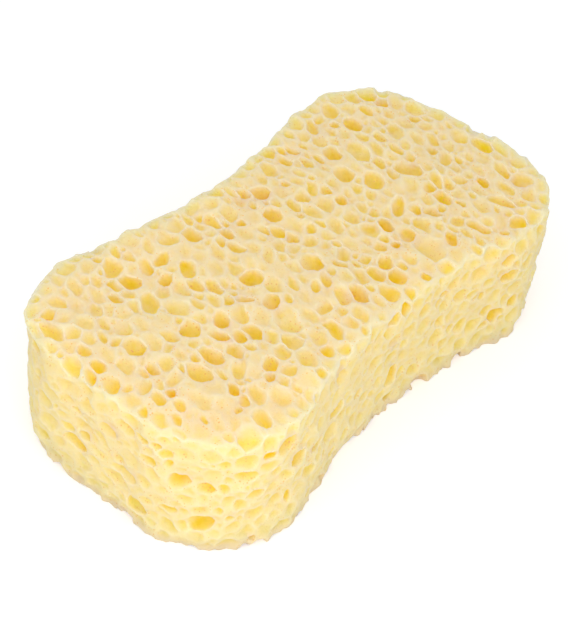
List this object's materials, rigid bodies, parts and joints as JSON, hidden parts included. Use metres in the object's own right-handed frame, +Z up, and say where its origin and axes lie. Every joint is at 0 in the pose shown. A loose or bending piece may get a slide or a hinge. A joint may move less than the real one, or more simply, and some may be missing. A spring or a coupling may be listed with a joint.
{
  "type": "cleaning sponge",
  "caption": "Waisted block of open-cell cellulose sponge, dry and pale yellow, for washing and wiping by hand.",
  "frame": {"origin": "centre of the bottom face, on the surface that the sponge lies on", "axes": "+Z up through the thickness, +X along the length towards one broad end, +Y across the width"},
  "size_m": [0.18, 0.096, 0.046],
  "materials": {
    "foam": "dry open-cell cellulose foam, matte, slightly translucent"
  },
  "bodies": {
    "root": {"sponge": "foam"}
  },
  "joints": []
}
